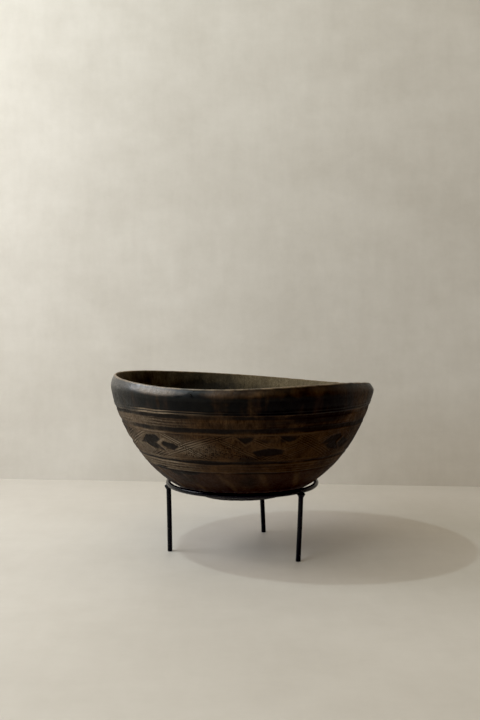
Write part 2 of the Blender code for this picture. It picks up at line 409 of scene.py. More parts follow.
def lattice_noise(azimuth, height, around, cell_height, seed):
    """Smooth random values between -1 and 1 that close up around the bowl."""
    source = np.random.default_rng(seed)
    rows = int(0.3 / cell_height) + 3
    lattice = source.uniform(-1.0, 1.0, (rows, around))
    column = (azimuth / TURN) % 1.0 * around
    row = np.clip(height / cell_height, 0.0, rows - 2.001)
    left = np.floor(column).astype(int)
    low = np.floor(row).astype(int)
    across = smooth_step(0.0, 1.0, column - left)
    up = smooth_step(0.0, 1.0, row - low)
    left = left % around
    right = (left + 1) % around
    lower = lattice[low, left] * (1.0 - across) + lattice[low, right] * across
    upper = lattice[low + 1, left] * (1.0 - across) + lattice[low + 1, right] * across
    return lower * (1.0 - up) + upper * up


def strongest_at(azimuth, middle, least):
    """1 on one side of the bowl, falling evenly to the least value on the other."""
    return (1.0 + least) / 2.0 + (1.0 - least) / 2.0 * np.cos(azimuth - middle)


def bezier(start, start_handle, end_handle, end, count):
    """Points along one Bezier curve, as an array of (radius, height)."""
    share = np.linspace(0.0, 1.0, count)[:, None]
    rest = 1.0 - share
    knots = [np.array(knot) for knot in (start, start_handle, end_handle, end)]
    weights = (rest**3, 3.0 * rest**2 * share, 3.0 * rest * share**2, share**3)
    return sum(weight * knot for weight, knot in zip(weights, knots))


def ellipse_arc(centre, half_width, half_height, start, end, count):
    """Points along part of an ellipse in the (radius, height) plane."""
    angle = np.linspace(start, end, count)
    radius = centre[0] + half_width * np.cos(angle)
    height = centre[1] + half_height * np.sin(angle)
    return np.stack([radius, height], 1)


def along(points, steps):
    """Resample a polyline so that its spacing follows the wanted steps."""
    lengths = np.linalg.norm(np.diff(points, axis=0), axis=1)
    middles = (steps[1:] + steps[:-1]) / 2.0
    travel = np.concatenate([[0.0], np.cumsum(lengths / middles)])
    count = max(2, int(round(travel[-1])) + 1)
    wanted = np.linspace(0.0, travel[-1], count)
    return np.stack([np.interp(wanted, travel, points[:, axis]) for axis in (0, 1)], 1)


# ---- bowl, in shape


def outer_wall_points(belly_radius, base_height):
    """The outside from the belly down to the base, closer rows where it is carved."""
    wall = bezier(
        (belly_radius, BELLY_HEIGHT), WALL_UPPER_HANDLE, WALL_LOWER_HANDLE, (BASE_RADIUS, base_height), 600
    )
    height = wall[:, 1]
    carved = (height > PANEL_BOTTOM) & (height < CARVED_TOP)
    steps = np.where(carved, CARVED_ROW_STEP, PLAIN_ROW_STEP)
    for groove_height, half_width, _, _ in GROOVES:
        if half_width > 1.0 * MM:
            near = np.abs(height - groove_height) < half_width + 1.2 * MM
            steps = np.where(near, GROOVE_ROW_STEP, steps)
    ridged = (height > RIDGED_STRIP[0]) & (height < RIDGED_STRIP[1])
    return along(wall, np.where(ridged, RIDGE_ROW_STEP, steps))


def hollow_points():
    """The inside from the middle of its floor up to its mouth, just below the rim."""
    floor_to_mouth = bezier(
        (0.0, HOLLOW_FLOOR_HEIGHT), HOLLOW_LOWER_HANDLE, HOLLOW_UPPER_HANDLE, HOLLOW_MOUTH, 400
    )
    return along(floor_to_mouth, np.full(len(floor_to_mouth), HOLLOW_ROW_STEP))


def bowl_sections(belly_radius, base_height):
    """The half section in four stretches: hollow, rim, outer wall and base."""
    edge_height = RIM_HEIGHT - RIM_ROUNDING
    outer_edge = RIM_MIDDLE_RADIUS + RIM_HALF_WIDTH
    inner_edge = RIM_MIDDLE_RADIUS - RIM_HALF_WIDTH
    hollow = hollow_points()
    mouth = np.linspace(HOLLOW_MOUTH, (inner_edge, edge_height), 5)[1:-1]
    rim_middle = (RIM_MIDDLE_RADIUS, edge_height)
    rim_edge = ellipse_arc(rim_middle, RIM_HALF_WIDTH, RIM_ROUNDING, math.pi, 0.0, 7)
    belly = (belly_radius, BELLY_HEIGHT)
    shoulder = bezier((outer_edge, edge_height), SHOULDER_UPPER_HANDLE, SHOULDER_LOWER_HANDLE, belly, 10)
    rim = np.concatenate([mouth, rim_edge, shoulder[1:-1]])
    wall = outer_wall_points(belly_radius, base_height)
    base = np.linspace((BASE_RADIUS, base_height), (0.0, base_height), 9)[1:]
    return hollow, rim, wall, base


def section_normals(section):
    """Unit normals of the half section, pointing out of the wood."""
    tangent = np.gradient(section, axis=0)
    normal = np.stack([-tangent[:, 1], tangent[:, 0]], 1)
    return normal / np.linalg.norm(normal, axis=1)[:, None]


def rim_rise(azimuth):
    return sum(height * np.cos(waves * (azimuth - crest)) for waves, height, crest in RIM_WAVES)


def line_wander(azimuth, height):
    """How far a hand-cut line strays from level."""
    slow = lattice_noise(azimuth, height, 14, 60.0 * MM, 11)
    quick = lattice_noise(azimuth, height, 48, 9.0 * MM, 12)
    tilt = LINE_TILT * np.cos(azimuth - LINE_TILT_AZIMUTH) * smooth_step(*LINE_TILT_HEIGHTS, height)
    return tilt + LINE_WANDER * (0.6 * slow + 0.35 * quick)


def groove_cuts(azimuth, height):
    """Depth and blackness of every line cut round the bowl."""
    depth = np.zeros_like(azimuth)
    stain = np.zeros_like(azimuth)
    for index, (middle, half_width, full_depth, blackness) in enumerate(GROOVES):
        away = np.abs(height - middle - line_wander(azimuth, height))
        shape = 1.0 - smooth_step(0.45 * half_width, 1.25 * half_width, away)
        pressure = 0.72 + 0.28 * lattice_noise(azimuth, height, 36, 0.2, 100 + index)
        depth = np.maximum(depth, full_depth * shape * pressure)
        stain = np.maximum(stain, blackness * shape * np.clip(pressure + 0.1, 0.0, 1.0))
    return depth, stain


def scribed_bands(azimuth, height):
    """Where fine lines are scratched round the bowl."""
    level = height - line_wander(azimuth, height)
    mask = np.zeros_like(azimuth)
    for lowest, highest in SCRIBED_BANDS:
        above = smooth_step(lowest - SCRIBED_FADE, lowest, level)
        below = smooth_step(highest + SCRIBED_FADE, highest, level)
        mask = np.maximum(mask, above * below)
    return mask


def soft_patches(azimuth, height, patches):
    """The summed strength of soft-edged patches at each point."""
    amount = np.zeros_like(azimuth)
    for middle, level, half_width, half_height, strength in patches:
        across = (np.degrees(azimuth) - middle + 180.0) % 360.0 - 180.0
        away = np.hypot(across / half_width, (height / MM - level) / half_height)
        amount = amount + strength * smooth_step(1.35, 0.35, away)
    return amount


def unrolled(azimuth, height):
    """Degrees across one unit of the frieze and millimetres up from its middle."""
    jitter = 1.2 * lattice_noise(azimuth, height, 9, 0.2, 21)
    turned = (np.degrees(azimuth) - FRIEZE_STARTS[0]) % 360.0 + FRIEZE_STARTS[0]
    unit_ends = [FRIEZE_UNIT * index for index in range(len(FRIEZE_STARTS))]
    degrees = (np.interp(turned, FRIEZE_STARTS, unit_ends) + jitter) % FRIEZE_UNIT
    wobble = 0.8 * lattice_noise(azimuth, height, 40, 12.0 * MM, 22)
    return degrees, (height - FRIEZE_MIDDLE) / MM + wobble


def degrees_to_mm(degrees):
    """Length along the frieze's middle of an angle around the bowl."""
    return np.radians(degrees) * FRIEZE_RADIUS / MM


def from_line(degrees, rise, start, end):
    """How far along a line and to its left a point lies, and the line's length, in mm."""
    run = degrees_to_mm(end[0] - start[0])
    climb = end[1] - start[1]
    length = math.hypot(run, climb)
    across = degrees_to_mm(degrees - start[0])
    up = rise - start[1]
    forward = (across * run + up * climb) / length
    left = (up * run - across * climb) / length
    return forward, left, length


def inside_polygon(degrees, rise, corners):
    """Distance in mm inside a convex outline listed clockwise (negative outside)."""
    sides = zip(corners, corners[1:] + corners[:1])
    return np.minimum.reduce([-from_line(degrees, rise, *side)[1] for side in sides])


def inside_ribbon(degrees, rise, start, end, half_width):
    """How far inside a straight ribbon, which may cross into the next unit, a point lies."""
    turns = (-FRIEZE_UNIT, 0.0, FRIEZE_UNIT)
    away = [np.abs(from_line(degrees + turn, rise, start, end)[1]) for turn in turns]
    return half_width - np.minimum.reduce(away)


def inside_line(degrees, rise, start, end, half_width):
    """How far inside a short raised line with round ends a point lies, in mm."""
    forward, left, length = from_line(degrees, rise, start, end)
    return half_width - np.hypot(forward - np.clip(forward, 0.0, length), left)


def deepest(measure, shapes, *place):
    """How far inside the nearest of several shapes each point lies, in mm."""
    return np.maximum.reduce([measure(*place, *shape) for shape in shapes])


def frieze(azimuth, height):
    """Cut depth and masks of the carved frieze."""
    place = unrolled(azimuth, height)
    # Pale raised lines and hatching are strongest on the lit left side and fade on the far side: partly
    # crisp carving, partly painted light.
    crisp_and_lit = strongest_at(azimuth, LIT_HANDLED_AZIMUTH, LEAST_CRISP_AND_LIT)
    half = FRIEZE_HALF_HEIGHT / MM
    band = 1.0 - smooth_step(half - 0.7, half + 0.5, np.abs(place[1]))
    ragged = 0.6 * lattice_noise(azimuth, height, 150, 3.2 * MM, 23)
    shapes = deepest(inside_polygon, [(corners,) for corners in DARK_SHAPES], *place) + ragged
    lines = smooth_step(-0.6, 0.5, deepest(inside_line, LIGHT_LINES, *place)) * band * crisp_and_lit
    faded = np.clip(0.95 + 0.35 * lattice_noise(azimuth, height, 26, 9.0 * MM, 24), 0.4, 1.0)
    dark = faded * smooth_step(-1.7, 1.0, shapes) * band * (1.0 - lines)
    rising = deepest(inside_ribbon, RISING_RIBBONS, *place)
    falling = deepest(inside_ribbon, FALLING_RIBBONS, *place)
    outline = np.maximum(np.exp(-((rising / 0.6) ** 2)), np.exp(-((falling / 0.6) ** 2)))
    clear = crisp_and_lit * band * smooth_step(-0.2, -1.4, shapes) * (1.0 - lines)
    outline = outline * clear
    rising = smooth_step(0.0, 0.9, rising) * clear
    falling = smooth_step(0.0, 0.9, falling) * clear
    dotted = smooth_step(-1.0, 1.5, inside_polygon(*place, DOTTED_PATCH)) * band
    ribbon = np.maximum(rising, falling)
    depth = FRIEZE_RECESS * dark + OUTLINE_DEPTH * outline - RIBBON_RISE * np.maximum(ribbon, lines)
    return {
        "depth": depth,
        "stain": np.maximum(dark, 0.25 * outline),
        "rising": rising,
        "falling": falling,
        "dotted": dotted * (1.0 - dark),
        "worn": np.maximum(0.9 * ribbon * (1.0 - outline), lines),
    }


def foot_panels(azimuth, height):
    """Raised slanting strips between darker panels around the foot."""
    share = (height - PANEL_BOTTOM) / (PANEL_TOP - PANEL_BOTTOM)
    band = smooth_step(-0.08, 0.06, share) * smooth_step(1.04, 0.98, share)
    pitch = TURN / PANEL_COUNT
    wobble = math.radians(1.3) * lattice_noise(azimuth, height, 30, 15.0 * MM, 31)
    place = azimuth + PANEL_SLANT * share + wobble + PANEL_START
    away = np.abs((place + pitch / 2.0) % pitch - pitch / 2.0)
    half_width = STRIP_HALF_WIDTH * (1.0 + 0.35 * lattice_noise(azimuth, height, 32, 9.0 * MM, 33))
    fade = np.clip(0.62 + 0.6 * lattice_noise(azimuth, height, 24, 18.0 * MM, 34), 0.0, 1.0)
    strip = smooth_step(1.7, 0.4, away / half_width) * fade
    panel = np.floor(place / pitch).astype(int) % PANEL_COUNT
    tone = np.random.default_rng(32).uniform(0.5, 1.0, PANEL_COUNT)[panel]
    return strip * band, (1.0 - strip) * band * tone


def ridges(azimuth, height):
    """The narrow raised lines beside the grooves, which wear pale first."""
    level = height - line_wander(azimuth, height)
    ridge = np.zeros_like(azimuth)
    for middle, half_width in RIDGES:
        away = np.abs(level - middle)
        ridge = np.maximum(ridge, smooth_step(1.4 * half_width, 0.5 * half_width, away))
    return ridge * np.clip(0.7 + 0.6 * lattice_noise(azimuth, height, 26, 0.2, 71), 0.0, 1.0)


def outside_surface(azimuth, height):
    """Everything carved into the outside: its depth, and masks for the wood's colour."""
    depth, stain = groove_cuts(azimuth, height)
    masks = frieze(azimuth, height)
    strip, panel = foot_panels(azimuth, height)
    facets = lattice_noise(azimuth, height, 60, 14.0 * MM, 41)
    swell = lattice_noise(azimuth, height, 11, 45.0 * MM, 42)
    depth = np.maximum(depth, masks["depth"]) + np.minimum(masks["depth"], 0.0)
    ridge = ridges(azimuth, height)
    depth = depth - RIDGE_RISE * ridge + STRIP_RISE * (0.5 * panel - strip)
    masks["depth"] = depth + FACET_DEPTH * facets + SWELL_DEPTH * swell
    masks["stain"] = np.maximum(stain, masks["stain"])
    masks["worn"] = np.maximum(masks["worn"], np.maximum(ridge, 0.85 * strip))
    masks["panel"] = panel
    masks["scribed"] = scribed_bands(azimuth, height)
    masks["patch"] = soft_patches(azimuth, height, PATCHES)
    masks["pale"] = soft_patches(azimuth, height, PALE_AND_SHEEN_PATCHES)
    return masks


def hollow_surface(azimuth, height):
    """Shallow scoops left by the gouge inside the bowl."""
    scoops = lattice_noise(azimuth, height, 44, 16.0 * MM, 51)
    swell = lattice_noise(azimuth, height, 9, 40.0 * MM, 52)
    return SCOOP_DEPTH * scoops + SWELL_DEPTH * swell


def stitch(first, second, first_start, second_start):
    """Faces between two rings, the second with as many, half as many or twice as many points."""
    if first < second:
        return [tuple(reversed(face)) for face in stitch(second, first, second_start, first_start)]
    faces = []
    for column in range(second):
        left = second_start + column
        right = second_start + (column + 1) % second
        if first == second:
            faces.append((first_start + column, first_start + (column + 1) % first, right, left))
        else:
            near = first_start + 2 * column
            far = first_start + (2 * column + 2) % first
            faces += [(near, near + 1, left), (near + 1, far, right, left)]
    return faces


def ring_columns(section_name, radius):
    """How many points a ring of the bowl's mesh gets."""
    if section_name in ("rim", "wall") and radius > FINE_RING_RADIUS:
        return FINE_COLUMNS
    if radius > COARSE_RING_RADIUS:
        return COARSE_COLUMNS
    if radius > SMALL_RING_RADIUS:
        return COARSE_COLUMNS // 2
    return COARSE_COLUMNS // 4


def bowl_rings(belly_radius, base_height):
    """Every ring of the bowl, from the hollow's floor over the rim to the base."""
    hollow, rim, wall, base = bowl_sections(belly_radius, base_height)
    stretches = {"hollow": hollow, "rim": rim, "wall": wall, "base": base}
    names = [name for name, points in stretches.items() for _ in points]
    section = np.concatenate(list(stretches.values()))
    normals = section_normals(section)
    return list(zip(names, section, normals))


def ring_surface(name, radius, azimuth, height):
    """How deep one ring is cut at each of its points, and the masks of its carving."""
    # The base underneath is made fully black: painted shade under the bowl.
    if name == "base":
        return np.zeros_like(azimuth), {"stain": np.full_like(azimuth, 1.3)}
    if name == "hollow":
        fade = smooth_step(0.0, 0.03, np.full_like(azimuth, radius))
        return hollow_surface(azimuth, height) * fade, {}
    values = outside_surface(azimuth, height)
    depth = values.pop("depth")
    if name == "rim":
        share = smooth_step(BELLY_HEIGHT, RIM_HEIGHT, height)
        nicks = lattice_noise(azimuth, height, 131, 0.2, 61) * lattice_noise(azimuth, height, 17, 0.2, 62)
        depth = depth * (1.0 - share) + share * NICK_DEPTH * nicks
    return depth, values


def shaped_ring(name, point, normal, columns):
    """Points of one ring, moved by the carving, and its mask values."""
    azimuth = np.arange(columns) * TURN / columns
    radius, level = point
    height = np.full(columns, level)
    depth, values = ring_surface(name, radius, azimuth, height)
    inner_side = name == "hollow" or (name == "rim" and radius < RIM_MIDDLE_RADIUS - 0.8 * MM)
    # Inside, the patch mask carries painted shade and painted light.
    if inner_side:
        values["patch"] = soft_patches(azimuth, height, HOLLOW_LIGHT_AND_SHADE_PATCHES)
    values["hollow"] = np.full(columns, float(inner_side))
    values["band"] = smooth_step(*BAND_EDGE, height - line_wander(azimuth, height))
    polish = strongest_at(azimuth, LIT_HANDLED_AZIMUTH, LEAST_POLISH)
    values["shoulder"] = polish * smooth_step(*SHOULDER_EDGE, height)
    values["edge"] = smooth_step(*WORN_EDGE, height)
    share = max(0.0, level - LEVEL_CARVING_TOP) / (RIM_HEIGHT - LEVEL_CARVING_TOP)
    lift = share * rim_rise(azimuth)
    moved_radius = radius - normal[0] * depth
    moved_height = level - normal[1] * depth + lift
    points = np.stack([moved_radius * np.sin(azimuth), -moved_radius * np.cos(azimuth), moved_height], 1)
    return points, values


def ring_faces(previous, columns, start):
    """Faces that join a new ring to the one before it."""
    before, before_start = previous
    if before == 1:
        return [(before_start, start + (i + 1) % columns, start + i) for i in range(columns)]
    if columns == 1:
        return [(before_start + i, before_start + (i + 1) % before, start) for i in range(before)]
    return stitch(before, columns, before_start, start)


def add_masks(mesh, ring_values, ring_sizes):
    """Store every mask as a named attribute, 0 where a ring has none."""
    for mask in WOOD_MASKS:
        rings = [values.get(mask, np.zeros(size)) for values, size in zip(ring_values, ring_sizes)]
        layer = mesh.attributes.new(mask, "FLOAT", "POINT")
        layer.data.foreach_set("value", np.concatenate(rings).astype(np.float32))


def make_bowl():
    """The bowl as one closed mesh with its carving as real geometry."""
    low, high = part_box("bowl")
    belly_radius = (high.x - low.x) / 2.0
    points, values, sizes, faces = [], [], [], []
    for name, point, normal in bowl_rings(belly_radius, low.z):
        columns = 1 if point[0] < 1e-6 else ring_columns(name, point[0])
        ring_points, ring_values = shaped_ring(name, point, normal, columns)
        start = sum(sizes)
        if sizes:
            faces += ring_faces((sizes[-1], start - sizes[-1]), columns, start)
        points.append(ring_points)
        values.append(ring_values)
        sizes.append(columns)
    mesh = bpy.data.meshes.new("bowl_wood")
    mesh.from_pydata(np.concatenate(points).tolist(), [], faces)
    add_masks(mesh, values, sizes)
    body = bmesh.new()
    body.from_mesh(mesh)
    bmesh.ops.recalc_face_normals(body, faces=body.faces)
    body.to_mesh(mesh)
    body.free()
    mesh.shade_smooth()
    bowl = add_object("bowl_wood", mesh)
    hand_over(bowl, carved_wood_material(), "bowl", "bowl")


# ---- stand, in shape


def tube(name, centres, radius, sides, closed):
    """A round bar along a list of centres, with flat ends unless it closes."""
    body = bmesh.new()
    rings = []
    count = len(centres)
    for index, centre in enumerate(centres):
        if closed:
            direction = centres[(index + 1) % count] - centres[index - 1]
        else:
            direction = centres[min(index + 1, count - 1)] - centres[max(index - 1, 0)]
        side = direction.cross(Vector((0.0, 0.0, 1.0)))
        if side.length < direction.length * 0.5:
            side = direction.cross(Vector((0.0, 1.0, 0.0)))
        side.normalize()
        up = side.cross(direction).normalized()
        width = radius[index] if isinstance(radius, list) else radius
        ring = []
        for step in range(sides):
            angle = TURN * step / sides
            ring.append(body.verts.new(centre + width * (math.cos(angle) * side + math.sin(angle) * up)))
        rings.append(ring)
    pairs = list(zip(rings, rings[1:]))
    if closed:
        pairs.append((rings[-1], rings[0]))
    for before, after in pairs:
        for step in range(sides):
            following = (step + 1) % sides
            body.faces.new((before[step], before[following], after[following], after[step]))
    if not closed:
        body.faces.new(list(reversed(rings[0])))
        body.faces.new(rings[-1])
    bmesh.ops.recalc_face_normals(body, faces=body.faces)
    bar = add_mesh(name, body)
    bar.data.shade_smooth()
    bar.data.set_sharp_from_angle(angle=math.radians(50.0))
    return bar


def ring_measures():
    """The ring's middle, its centre line's radius and its bar's radius."""
    low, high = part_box("stand_ring")
    rod = (high.z - low.z) / 2.0
    middle = (low + high) / 2.0
    return middle, (high.x - low.x) / 2.0 - rod, rod


def slow_waves(azimuth, waves):
    return sum(size * math.sin(count * azimuth + phase) for count, size, phase in waves)


def make_ring(paint):
    """The bent bar, a hair out of true as a hand-bent ring is."""
    middle, radius, rod = ring_measures()
    centres = []
    for step in range(RING_SEGMENTS):
        azimuth = TURN * step / RING_SEGMENTS
        bend = radius + slow_waves(azimuth, RING_BENDS)
        sag = slow_waves(azimuth, RING_SAGS)
        centres.append(middle + Vector((bend * math.sin(azimuth), -bend * math.cos(azimuth), sag)))
    ring = tube("ring_bar", centres, rod, ROD_SIDES, True)
    hand_over(ring, paint, "stand", "stand_ring")


def end_centres(node):
    """The middles of a leg's lowest and highest faces."""
    corners = [vertex.co for vertex in frame["nodes"][node].data.vertices]
    low = min(corner.z for corner in corners)
    high = max(corner.z for corner in corners)
    ends = []
    for level in (low, high):
        near = [corner for corner in corners if abs(corner.z - level) < 0.01 * MM]
        ends.append(sum(near, Vector()) / len(near))
    return ends


def make_leg(side, paint):
    """A cut length of bar from the floor up into the ring."""
    node = "leg_" + side
    foot, top = end_centres(node)
    _, _, rod = ring_measures()
    top = top + (top - foot).normalized() * rod * LEG_INTO_RING
    bow = Vector(LEG_BOW)
    centres = [foot, foot + Vector((0.0, 0.0, LEG_BEVEL))]
    radii = [rod - LEG_BEVEL, rod]
    for step in range(1, LEG_RINGS + 1):
        share = step / LEG_RINGS
        centres.append(foot.lerp(top, share) + bow * math.sin(math.pi * share))
        radii.append(rod)
    leg = tube("leg_bar_" + side, centres, radii, ROD_SIDES, False)
    hand_over(leg, paint, "stand", node)


def ball(body, centre, radius):
    made = bmesh.ops.create_icosphere(body, subdivisions=2, radius=radius)
    bmesh.ops.translate(body, vec=centre, verts=made["verts"])


def fused(name, body, rounds):
    """Melt overlapping balls into one smooth bead."""
    obj = add_mesh(name, body)
    melt = obj.modifiers.new("melt", "REMESH")
    melt.mode = "VOXEL"
    melt.voxel_size = WELD_VOXEL
    melt.use_smooth_shade = True
    relax = obj.modifiers.new("relax", "SMOOTH")
    relax.factor = 0.5
    relax.iterations = rounds
    bpy.context.view_layer.update()
    graph = bpy.context.evaluated_depsgraph_get()
    finished = bpy.data.meshes.new_from_object(obj.evaluated_get(graph), depsgraph=graph)
    obj.modifiers.clear()
    obj.data = finished
    finished.name = name
    return obj


def make_leg_weld(side, paint):
    """A run of weld beads around the top of a leg, climbing the ring's flanks."""
    node = "leg_" + side
    foot, top = end_centres(node)
    _, _, rod = ring_measures()
    source = np.random.default_rng(len(side))
    body = bmesh.new()
    for step in range(LEG_WELD_BEADS):
        angle = TURN * step / LEG_WELD_BEADS
        outward = Vector((math.cos(angle), math.sin(angle), 0.0))
        reach = rod * (1.02 + 0.10 * source.random())
        drop = 0.9 * MM * source.random() - 0.2 * MM
        upper = top + outward * reach - Vector((0.0, 0.0, drop + 0.4 * MM))
        ball(body, upper, 1.75 * MM + 0.35 * MM * source.random())
        lower = top + outward * rod * 0.9 - Vector((0.0, 0.0, drop + 2.6 * MM))
        ball(body, lower, 1.05 * MM + 0.2 * MM * source.random())
    ball(body, top + Vector((0.0, 0.0, -0.4 * MM)), rod * 1.15)
    weld = fused("weld_bead_" + side, body, 3)
    hand_over(weld, paint, "stand", "weld_" + side)


def make_seam_weld(paint):
    """The low bead where the bent bar's two ends were joined and dressed."""
    middle, radius, rod = ring_measures()
    outward = Vector((math.sin(SEAM_AZIMUTH), -math.cos(SEAM_AZIMUTH), 0.0))
    centre = middle + radius * outward
    source = np.random.default_rng(7)
    body = bmesh.new()
    for step in range(SEAM_WELD_BEADS):
        angle = TURN * step / SEAM_WELD_BEADS
        offset = outward * math.cos(angle) + Vector((0.0, 0.0, math.sin(angle)))
        ball(body, centre + offset * (rod - 1.05 * MM), 1.35 * MM + 0.12 * MM * source.random())
    ball(body, centre, rod * 0.96)
    weld = fused("seam_bead", body, 2)
    hand_over(weld, paint, "stand", "ring_seam_weld")


# ---- materials


class Shader:
    """A short way to write a material's nodes."""

    def __init__(self, name):
        self.material = bpy.data.materials.new(name)
        self.material.use_nodes = True
        self.tree = self.material.node_tree
        self.surface = self.tree.nodes["Principled BSDF"]

    def add(self, kind, inputs=None, **settings):
        node = self.tree.nodes.new(kind)
        for setting, value in settings.items():
            setattr(node, setting, value)
        for key, value in (inputs or {}).items():
            self.feed(node.inputs[key], value)
        return node

    def feed(self, socket, value):
        if isinstance(value, bpy.types.NodeSocket):
            self.tree.links.new(value, socket)
        else:
            socket.default_value = value

    def math(self, operation, first, second=0.0, third=0.0):
        return self.add("ShaderNodeMath", {0: first, 1: second, 2: third}, operation=operation).outputs[0]

    def blend(self, share, first, second, mode="MIX"):
        node = self.add("ShaderNodeMix", data_type="RGBA", blend_type=mode)
        self.feed(node.inputs["Factor"], share)
        self.feed(node.inputs[6], first)
        self.feed(node.inputs[7], second)
        return node.outputs[2]

    def between(self, share, first, second):
        """A number that goes from first to second as share goes from 0 to 1."""
        return self.window(share, 0.0, 1.0, first, second)

    def window(self, value, low, high, first=0.0, second=1.0):
        """A number that goes from first to second as value goes from low to high."""
        settings = {"Value": value, "From Min": low, "From Max": high, "To Min": first, "To Max": second}
        return self.add("ShaderNodeMapRange", settings).outputs[0]

    def noise(self, place, scale, detail=4.0, roughness=0.55):
        settings = {"Vector": place, "Scale": scale, "Detail": detail, "Roughness": roughness}
        return self.add("ShaderNodeTexNoise", settings).outputs["Fac"]

    def stretched(self, place, up, across=1.0, back=1.0):
        """The same place with its axes scaled, so that a pattern runs long or flat."""
        return self.add("ShaderNodeMapping", {"Vector": place, "Scale": (across, back, up)}).outputs[0]

    def mask(self, name):
        return self.add("ShaderNodeAttribute", attribute_name=name).outputs["Fac"]

    def bump(self, height, distance, strength=1.0, normal=None):
        node = self.add("ShaderNodeBump", {"Height": height, "Distance": distance, "Strength": strength})
        if normal is not None:
            self.feed(node.inputs["Normal"], normal)
        return node.outputs["Normal"]

    def set(self, **inputs):
        for key, value in inputs.items():
            self.feed(self.surface.inputs[key.replace("_", " ")], value)


def line_pattern(s, azimuth, height, turns, pitch):
    """Fine parallel lines: 1 in the cut between two lines and 0 on their crests."""
    across = s.math("MULTIPLY", azimuth, turns)
    phase = s.math("MULTIPLY_ADD", height, TURN / pitch, across)
    return s.window(s.math("SINE", phase), 0.25, -0.60)


def masked(s, name, pattern):
    return s.math("MULTIPLY", s.mask(name), pattern)


def fine_cuts(s, place, azimuth, height):
    """Hatching, scratched lines and punched dots, 1 where the wood is cut away."""
    wander = s.math("MULTIPLY_ADD", s.noise(place, 24.0, 2.0), 2.4 * MM, height)
    wander = s.math("MULTIPLY_ADD", s.noise(place, 160.0, 1.0), 0.5 * MM, wander)
    rising = masked(s, "rising", line_pattern(s, azimuth, wander, RISING_HATCH_TURNS, HATCH_PITCH))
    falling = masked(s, "falling", line_pattern(s, azimuth, wander, FALLING_HATCH_TURNS, HATCH_PITCH))
    scribed = masked(s, "scribed", line_pattern(s, azimuth, wander, 0.0, SCRIBED_PITCH))
    broken = s.window(s.noise(s.stretched(place, 4.0), 15.0, 2.0), 0.42, 0.60, 0.05, 0.9)
    broken = s.math("MULTIPLY", broken, s.between(s.mask("pale"), 0.35, 1.0))
    scribed = s.math("MULTIPLY", scribed, broken)
    dots = {"Vector": place, "Scale": PUNCHED_DOTS_SCALE, "Randomness": 0.6}
    cells = s.add("ShaderNodeTexVoronoi", dots)
    punched = masked(s, "dotted", s.window(cells.outputs["Distance"], 0.46, 0.24))
    cuts = s.math("MAXIMUM", s.math("MAXIMUM", rising, falling), s.math("MAXIMUM", scribed, punched))
    kept = s.window(s.noise(place, 55.0, 3.0), 0.30, 0.50, 0.5, 1.0)
    return s.math("MULTIPLY", cuts, kept)


def bare_wood(s, place, grain, mottle, blotch, streaks, dry_and_sheen):
    """Brown wood gone dry and pale in places, and painted pale as sheen on the lit left side, with dark
    panels and rubbed ridges.
    """
    bare = s.blend(s.window(grain, 0.30, 0.72), BROWN_DEEP, BROWN_LIGHT)
    bare = s.blend(s.window(blotch, 0.42, 0.66, 0.0, 0.75), bare, BROWN_BLOTCH)
    bare = s.blend(s.window(streaks, 0.52, 0.74, 0.0, 0.5), bare, BROWN_STREAK)
    clouds = s.window(s.noise(place, 30.0, 4.0, 0.65), 0.34, 0.66, 0.55, 1.35)
    bare = s.blend(1.0, bare, clouds, "MULTIPLY")
    pale = s.blend(s.window(grain, 0.30, 0.72), DRIED_SHEEN_DEEP, DRIED_SHEEN_LIGHT)
    dusty = s.window(s.noise(place, 520.0, 2.0), 0.52, 0.70, 0.0, 0.55)
    pale = s.blend(dusty, pale, DRIED_SHEEN_DUST)
    bare = s.blend(dry_and_sheen, bare, pale)
    bare = s.blend(masked(s, "panel", 0.85), bare, BROWN_PANEL)
    rubbed = s.blend(dry_and_sheen, BROWN_RUBBED, DRIED_SHEEN_RUBBED)
    return s.blend(masked(s, "worn", s.window(mottle, 0.30, 0.58, 0.30, 0.95)), bare, rubbed)


def black_wood(s, mottle, streaks):
    """The patina of the band under the rim, and the plainer black of stains below it."""
    black = s.blend(s.window(mottle, 0.32, 0.72), BAND_BLACK_DEEP, BAND_BLACK_LIGHT)
    black = s.blend(s.window(streaks, 0.55, 0.74, 0.0, 0.7), black, BLACK_STREAK)
    return s.blend(s.mask("band"), STAIN_BLACK, black)


def smoke_cover(s, mottle, blotch, dry_and_sheen):
    """Where black covers the brown: 1 where it is whole and 0 where none is left."""
    smoke = s.math("MAXIMUM", s.mask("stain"), masked(s, "band", 0.90))
    smoke = s.math("ADD", smoke, s.mask("patch"))
    smoke = s.math("MULTIPLY_ADD", masked(s, "worn", dry_and_sheen), -1.35, smoke)
    smoke = s.math("MULTIPLY_ADD", s.math("SUBTRACT", mottle, 0.5), 1.5, smoke)
    smoke = s.math("MULTIPLY_ADD", s.math("SUBTRACT", blotch, 0.5), 0.9, smoke)
    return s.window(smoke, 0.12, 0.78)


def outside_colour(s, place, grain, mottle, blotch, cuts):
    """Brown wood under smoke-black patina, and how black each spot is."""
    streaks = s.noise(s.stretched(place, 0.1), 120.0, 3.0, 0.6)
    # The pale mask: dry wood, and painted sheen on the lit left side.
    dry_and_sheen = masked(s, "pale", s.window(mottle, 0.26, 0.64, 0.35, 1.0))
    bare = bare_wood(s, place, grain, mottle, blotch, streaks, dry_and_sheen)
    blackness = smoke_cover(s, mottle, blotch, dry_and_sheen)
    shade = s.blend(blackness, bare, black_wood(s, mottle, streaks))
    return s.blend(s.math("MULTIPLY", cuts, 0.88), shade, CUT_BLACK), blackness


